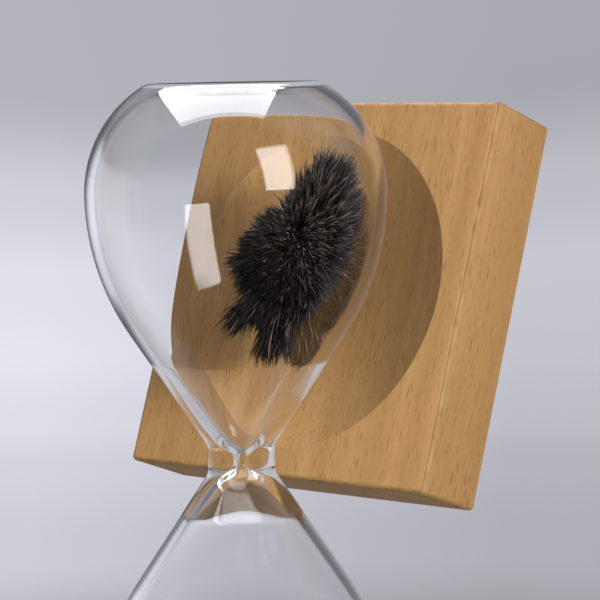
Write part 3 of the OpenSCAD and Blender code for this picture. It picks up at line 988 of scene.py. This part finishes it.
def filings_shell(filings, glass):
    """A dense core with needles all over, in tufts, and for each vertex a value for its polish and painted
    glint.

    Needles run from the core to the clump's reach. Tips stay inside the glass, at rest and after the slump.
    """
    chance = np.random.default_rng(filings.seed)
    middle = np.array(filings.middle)
    cavity = whole_cavity(glass)

    ways = spread_directions(4 * filings.needle_count, chance, 0.012)
    spread = clump_reach(filings, ways) ** 2
    ways = ways[chance.choice(len(ways), filings.needle_count, replace=False, p=spread / spread.sum())]
    tufts = spread_directions(filings.tuft_count, chance, 0.05)
    likeness = ways @ tufts.T
    own = likeness.argmax(axis=1)
    apart = np.arccos(np.clip(likeness.max(axis=1), -1.0, 1.0))
    half_width = math.sqrt(4.0 / filings.tuft_count)
    tuft_length = chance.uniform(*TUFT_LENGTHS, filings.tuft_count)[own]
    reach = clump_reach(filings, ways)

    roots = middle + (filings.root_share * reach)[:, None] * ways
    leaning = unit(ways + filings.gather * (tufts[own] - ways))
    target = middle + reach[:, None] * leaning
    burst = unit(roots - np.array(filings.burst))
    along = unit(target - roots)
    along = unit(along + filings.burst_share * (burst - along) + chance.normal(0.0, WAY_SCATTER, ways.shape))
    length = reach * (1.0 - filings.root_share) * tuft_length
    length *= (1.0 - TUFT_FALL * (apart / half_width) ** 2) * chance.uniform(*NEEDLE_LENGTHS, len(ways))

    shares = np.linspace(1.0, 0.05, 20)[:, None]
    reached = roots + (shares * length)[..., None] * along
    clear = in_glass(reached, cavity[:, 1], cavity[:, 0], filings.glass_gap)
    length *= shares[clear.argmax(axis=0), 0]
    kept = clear.any(axis=0)
    roots, along, length = roots[kept], along[kept], length[kept]
    bends = chance.normal(0.0, BEND_SCATTER, roots.shape) * length[:, None]
    radii = filings.needle_radius * chance.uniform(*NEEDLE_RADII, len(roots))
    needles = needles_shell(roots, roots + length[:, None] * along, bends, radii, chance)
    # Each needle's polish and painted glint, drawn by chance
    polish_and_painted_glints = np.repeat(chance.uniform(0.0, 1.0, len(roots)), NEEDLE_POINTS)

    polar = np.linspace(0.0, math.pi, CORE_ROWS + 2)[1:-1]
    core_ways = turned_rings(np.column_stack([np.sin(polar), np.cos(polar)]), CORE_COLUMNS)
    poles = np.array([[0.0, 0.0, 1.0], [0.0, 0.0, -1.0]])
    rings = core_ways * clump_reach(filings, core_ways)[..., None]
    ends = middle + filings.core_share * poles * clump_reach(filings, poles)[:, None]
    core = ring_shell(middle + filings.core_share * rings, ends[0], ends[1], flip=True)
    return together(core, needles), np.concatenate([np.zeros(len(core[0])), polish_and_painted_glints])


# Stage

def direction(azimuth, elevation):
    """Way from the glass to a viewer or lamp: azimuth 0 is in front, at -Y, and turns towards +X."""
    return Vector((
        math.sin(azimuth) * math.cos(elevation),
        -math.cos(azimuth) * math.cos(elevation),
        math.sin(elevation),
    ))


def view_axes(stage):
    """Right, up and back of the camera."""
    back = direction(stage.view_azimuth, stage.view_elevation)
    level = Vector((math.cos(stage.view_azimuth), math.sin(stage.view_azimuth), 0.0))
    upright = back.cross(level)
    roll = stage.view_roll
    right = level * math.cos(roll) + upright * math.sin(roll)
    up = upright * math.cos(roll) - level * math.sin(roll)
    return right, up, back


def add_camera(stage):
    """Camera that sees the waist where the photograph shows it."""
    right, up, back = view_axes(stage)
    seen = stage.waist_in_view
    place = Vector((0.0, 0.0, waist_height)) - seen[0] * right - seen[1] * up + seen[2] * back
    data = bpy.data.cameras.new("camera")
    data.sensor_fit = "HORIZONTAL"
    data.sensor_width = SENSOR_WIDTH
    data.lens = stage.focal_pixels * SENSOR_WIDTH / IMAGE_WIDTH
    data.clip_start = 0.01
    camera = bpy.data.objects.new("camera", data)
    camera.matrix_world = Matrix.Translation(place) @ Matrix((right, up, back)).transposed().to_4x4()
    bpy.context.scene.collection.objects.link(camera)
    bpy.context.scene.camera = camera
    return camera


def add_lamp(name, place, target, size, power, colour, mirrored=False):
    """Rectangular soft light at a place, turned to a target. Either it lights, or it is only mirrored."""
    data = bpy.data.lights.new(name, "AREA")
    data.shape = "RECTANGLE"
    data.size, data.size_y = size
    data.energy = power
    data.color = colour
    lamp = bpy.data.objects.new(name, data)
    lamp.location = place
    lamp.rotation_euler = (Vector(target) - Vector(place)).to_track_quat("-Z", "Y").to_euler()
    lamp.visible_diffuse = not mirrored
    lamp.visible_glossy = lamp.visible_transmission = mirrored
    bpy.context.scene.collection.objects.link(lamp)
    return lamp


def shine_power(radiance, size):
    """Power of a rectangular light of a given brightness: brightness times pi times area."""
    return radiance * math.pi * size[0] * size[1]


def mirrored_rays(tree, path):
    """One for rays that the glass has mirrored, else nought."""
    return maths(tree, "GREATER_THAN", path.outputs["Glossy Depth"], 0.5)


def painted_dark_sides(tree, parts):
    """How dark the painted reflection of the studio's sides is at a place: its right, and high up its left.
    """
    left = ranged(tree, parts.outputs["X"], -0.5, -0.9, smooth=True)
    high = ranged(tree, parts.outputs["Z"], 0.4, 0.55, smooth=True)
    right = ranged(tree, parts.outputs["X"], 0.1, 0.4, smooth=True)
    return maths(tree, "MAXIMUM", maths(tree, "MULTIPLY", left, high), right)


def painted_dark_behind(tree, parts):
    """How dark the painted reflection of a place behind the glass is: a wedge from straight back to the left,
    painted dark for thin outlines.

    Its left edge is a bearing, X over Y, that leans out with height. It ends on the right and near the
    glass, and fades high up.
    """
    deep = maths(tree, "MAXIMUM", parts.outputs["Y"], 0.1)
    edge = ranged(tree, parts.outputs["Z"], 0.03, 0.2, -0.40, -0.50)
    swing = maths(tree, "SUBTRACT", maths(tree, "DIVIDE", parts.outputs["X"], deep), edge)
    wedge = maths(tree, "MAXIMUM", ranged(tree, swing, -0.07, 0.07, smooth=True), ranged(
        tree, parts.outputs["X"], -0.26, -0.16, smooth=True))
    limits = (("X", 0.0, 0.1, 1.0, 0.0), ("Y", 0.2, 0.35, 0.0, 1.0), ("Z", 0.35, 0.6, 1.0, 0.45))
    for axis, start, end, before, after in limits:
        wedge = maths(tree, "MULTIPLY", wedge, ranged(
            tree, parts.outputs[axis], start, end, before, after, smooth=True))
    return wedge


def sweep_material(stage):
    """Pale paper: lit and shaded near the glass with a share of painted glow, and further off a painted glow
    that camera and glass see.

    The painted glow goes with the depth behind the glass, and falls off from left to right as painted light.
    Where the glass mirrors the studio's front and sides, and a wedge straight behind it, the glow is painted
    dark, a painted dark reflection.
    """
    material, tree, shader, output = new_material("paper_sweep")
    set_inputs(tree, shader, {
        "Base Color": opaque_colour(stage.sweep_colour), "Roughness": 0.9, "Specular IOR Level": 0.1})
    place = object_place(tree)
    turned = node(tree, "ShaderNodeMapping", {
        "Vector": place, "Rotation": (0.0, 0.0, stage.view_azimuth)}, vector_type="TEXTURE").outputs[0]
    parts = node(tree, "ShaderNodeSeparateXYZ", {0: turned})
    path = node(tree, "ShaderNodeLightPath")
    mirrored = mirrored_rays(tree, path)
    away = maths(tree, "ABSOLUTE", parts.outputs["Y"])
    depth = ranged(tree, mirrored, 0.0, 1.0, maths(tree, "MAXIMUM", away, 0.35), parts.outputs["Y"])
    # Painted glow: its tone goes with the depth behind the glass
    ramp = node(tree, "ShaderNodeValToRGB", {"Fac": ranged(tree, depth, -SWEEP_REACH, SWEEP_REACH)})
    for far, tone in SWEEP_TONES:
        stop = ramp.color_ramp.elements.new((far / SWEEP_REACH + 1.0) / 2.0)
        stop.color = opaque_colour(stage.wall_tint, tone)
    ramp.color_ramp.elements.remove(ramp.color_ramp.elements[-1])
    ramp.color_ramp.elements.remove(ramp.color_ramp.elements[0])
    ramp.color_ramp.interpolation = "EASE"
    # Painted fall of light from left to right
    bearing = maths(tree, "DIVIDE", parts.outputs["X"], maths(tree, "ADD", away, stage.waist_in_view[2]))
    right = ranged(tree, parts.outputs["Y"], 1.0, 1.45, stage.right_share, stage.far_share)
    fall = ranged(tree, bearing, -0.09, 0.09, 1.0, right)
    # Painted dark reflection: only mirrored rays see the sides and the wedge behind as dark
    aside = maths(tree, "MULTIPLY", painted_dark_sides(tree, parts), mirrored)
    behind = maths(tree, "MULTIPLY", painted_dark_behind(tree, parts), mirrored)
    left_over = maths(
        tree, "MINIMUM", ranged(tree, aside, 0.0, 1.0, 1.0, stage.side_share),
        ranged(tree, behind, 0.0, 1.0, 1.0, stage.behind_share))
    # The painted glow that camera, glass and mirrored rays see
    shine = node(tree, "ShaderNodeEmission", {
        "Color": ramp.outputs[0], "Strength": maths(tree, "MULTIPLY", fall, left_over)})
    seen = maths(tree, "MAXIMUM", path.outputs["Is Camera Ray"], path.outputs["Is Transmission Ray"])
    # Near the glass the camera sees lit paper with a share of the painted glow
    near = node(tree, "ShaderNodeVectorMath", {0: place}, operation="LENGTH").outputs["Value"]
    far = maths(tree, "MULTIPLY", seen, ranged(tree, near, 0.16, 0.32, 0.35, 1.0, smooth=True))
    sharp = maths(tree, "MULTIPLY", mirrored, maths(tree, "SUBTRACT", 1.0, path.outputs["Is Diffuse Ray"]))
    share = maths(tree, "MAXIMUM", far, sharp)
    mix = node(tree, "ShaderNodeMixShader", {0: share, 1: shader.outputs[0], 2: shine.outputs[0]})
    tree.links.new(mix.outputs[0], output.inputs["Surface"])
    return material


def add_sweep(stage):
    """Round sweep: a flat floor, a quarter circle up and a wall, turned all round the glass."""
    cove = stage.cove_radius
    outer = stage.floor_radius + cove
    profile = joined(
        line((0.0, 0.0), (stage.floor_radius, 0.0), 24),
        arc((stage.floor_radius, cove), cove, -math.pi / 2.0, 0.0, 24),
        line((outer, cove), (outer, stage.wall_height), 6),
    )
    rings = turned_rings(profile[1:], SWEEP_SEGMENTS)
    vertices = np.vstack([rings.reshape(-1, 3), (0.0, 0.0, 0.0)])
    quads = ring_quads(len(rings), SWEEP_SEGMENTS)[:, [0, 3, 2, 1]]
    shell = (vertices, quads, ring_fan(len(rings), SWEEP_SEGMENTS, 0, 0))
    sweep = add_mesh("paper_sweep", shell, sweep_material(stage))
    return sweep


def add_flag(stage):
    """Gauze flag in the plane of the block's face, to its right. It only dims light on the block's side."""
    left, right = block_high.x - FLAG_INSIDE, block_high.x + FLAG_OUTSIDE
    sides = ((left, FLAG_LOW), (right, FLAG_LOW), (right, FLAG_HIGH), (left, FLAG_HIGH))
    corners = np.array([(*side, FLAG_DEPTH) for side in sides])
    material, tree, _, output = new_material("gauze")
    dim = opaque_colour((1.0, 1.0, 1.0), stage.flag_share)
    gauze = node(tree, "ShaderNodeBsdfTransparent", {"Color": dim})
    tree.links.new(gauze.outputs[0], output.inputs["Surface"])
    shell = (on_base(corners), np.array([[0, 1, 2, 3]]), np.empty((0, 3), int))
    flag = add_mesh("flag", shell, material)
    flag.visible_camera = False
    flag.visible_diffuse = False
    flag.visible_glossy = False
    flag.visible_transmission = False
    return flag


def studio_world(stage):
    """Soft warm light from all round, which the glass mirrors only dimly."""
    world = bpy.data.worlds.new("studio")
    world.use_nodes = True
    tree = world.node_tree
    mirrored = mirrored_rays(tree, node(tree, "ShaderNodeLightPath"))
    dim = stage.world_share * stage.world_strength
    strength = ranged(tree, mirrored, 0.0, 1.0, stage.world_strength, dim)
    set_inputs(tree, tree.nodes["Background"], {
        "Color": opaque_colour(stage.world_colour), "Strength": strength})
    return world


class HOURGLASS_OT_stage(bpy.types.Operator):
    """Sets up the camera, the paper sweep and the lights"""

    bl_idname = "hourglass.stage"
    bl_label = "Set Up Stage"

    def execute(self, context):
        stage = context.scene.hourglass_stage
        add_camera(stage)
        add_sweep(stage)
        add_flag(stage)
        target = Vector((0.0, 0.0, LAMP_AIM * waist_height))
        key_place = target + stage.key_distance * direction(stage.key_azimuth, stage.key_elevation)
        add_lamp("key", key_place, target, stage.key_size, stage.key_power, stage.key_colour)
        shine_place = target + direction(stage.shine_azimuth, stage.shine_elevation)
        add_lamp(
            "softbox", shine_place, target, stage.shine_size, shine_power(stage.shine, stage.shine_size),
            stage.shine_colour, mirrored=True)
        fill_place = target + LAMP_DISTANCE * direction(stage.fill_azimuth, stage.fill_elevation)
        add_lamp("fill", fill_place, target, LAMP_SIZE, stage.fill_power, stage.fill_colour)
        front_place = target + LAMP_DISTANCE * direction(stage.front_azimuth, stage.front_elevation)
        add_lamp("front", front_place, target, LAMP_SIZE, stage.front_power, stage.front_colour)
        turned = Matrix.Rotation(stage.view_azimuth, 3, "Z")
        canopy = add_lamp(
            "canopy", turned @ Vector(stage.canopy_place), target, stage.canopy_size,
            shine_power(stage.canopy, stage.canopy_size), stage.canopy_colour, mirrored=True)
        canopy.rotation_euler = (0.0, 0.0, stage.view_azimuth)
        context.scene.world = studio_world(stage)
        context.scene.view_settings.view_transform = "Standard"
        return {"FINISHED"}


class HOURGLASS_OT_glass(bpy.types.Operator):
    """Blows the two bulbs and their waist as one piece of glass"""

    bl_idname = "hourglass.glass"
    bl_label = "Blow Glass"

    def execute(self, context):
        glass = context.scene.hourglass_glass
        shell = together(
            lathe(whole_outside(glass), glass.segments),
            lathe(whole_cavity(glass), glass.segments, flip=True),
        )
        add_piece("blown_glass", shell, glass_material(glass), "glass", "glass", "upper_bulb", "lower_bulb")
        return {"FINISHED"}


class HOURGLASS_OT_filings(bpy.types.Operator):
    """Stands the iron filings in tufts of needles"""

    bl_idname = "hourglass.filings"
    bl_label = "Stand Filings"

    def execute(self, context):
        filings = context.scene.hourglass_filings
        shell, polish_and_painted_glints = filings_shell(filings, context.scene.hourglass_glass)
        clump = add_piece("needle_clump", shell, iron_material(filings), "filings", "iron", "iron_filings")
        # Polish and painted glint of each vertex
        clump.data.attributes.new("polish_and_painted_glint", "FLOAT", "POINT").data.foreach_set("value", polish_and_painted_glints)
        return {"FINISHED"}


class HOURGLASS_OT_base(bpy.types.Operator):
    """Makes the beech block, its plug and its felt pads, and finishes the magnet and its glue"""

    bl_idname = "hourglass.base"
    bl_label = "Make Base"

    def execute(self, context):
        base = context.scene.hourglass_base
        beech = beech_material(base, "beech")
        add_piece("beech_block", block_shell(base), beech, "base", "beech", "base_block")
        plug_wood = beech_material(base, "beech_plug", turn=math.radians(90.0), painted_edge_highlight=False)
        add_piece("beech_plug", plug_shell(base), plug_wood, "base", "beech", "bore_plug")
        add_piece("felt_feet", pads_shell(base), felt_material(base), "base", "felt", "felt_pads")
        frame["nodes"]["magnet"].material_slots[0].material = nickel_material()
        frame["nodes"]["magnet_glue"].material_slots[0].material = glue_material()
        return {"FINISHED"}


class HOURGLASS_PT_panel(bpy.types.Panel):
    """Sidebar panel of the hourglass"""

    bl_idname = "HOURGLASS_PT_panel"
    bl_label = "Hourglass"
    bl_space_type = "VIEW_3D"
    bl_region_type = "UI"
    bl_category = "Hourglass"

    def draw(self, context):
        layout = self.layout
        for title, operator, settings in STEPS:
            box = layout.box()
            box.label(text=title)
            group = getattr(context.scene, settings)
            for field in group.__annotations__:
                box.prop(group, field)
            box.operator(operator)


STEPS = (
    ("Stage", "hourglass.stage", "hourglass_stage"),
    ("Glass", "hourglass.glass", "hourglass_glass"),
    ("Filings", "hourglass.filings", "hourglass_filings"),
    ("Base", "hourglass.base", "hourglass_base"),
)
GROUPS = {
    "hourglass_stage": StageSettings,
    "hourglass_glass": GlassSettings,
    "hourglass_filings": FilingsSettings,
    "hourglass_base": BaseSettings,
}
CLASSES = (
    *GROUPS.values(),
    HOURGLASS_OT_stage,
    HOURGLASS_OT_glass,
    HOURGLASS_OT_filings,
    HOURGLASS_OT_base,
    HOURGLASS_PT_panel,
)


def register():
    """Makes the settings, the operators and the panel known."""
    for each in CLASSES:
        bpy.utils.register_class(each)
    for name, group in GROUPS.items():
        setattr(bpy.types.Scene, name, PointerProperty(type=group))


def unregister():
    """Takes them away again."""
    for name in GROUPS:
        delattr(bpy.types.Scene, name)
    for each in reversed(CLASSES):
        bpy.utils.unregister_class(each)


def main():
    """Builds the stage and the pieces in order."""
    register()
    bpy.ops.hourglass.stage()
    bpy.ops.hourglass.glass()
    bpy.ops.hourglass.filings()
    bpy.ops.hourglass.base()


if __name__ == "__main__":
    main()
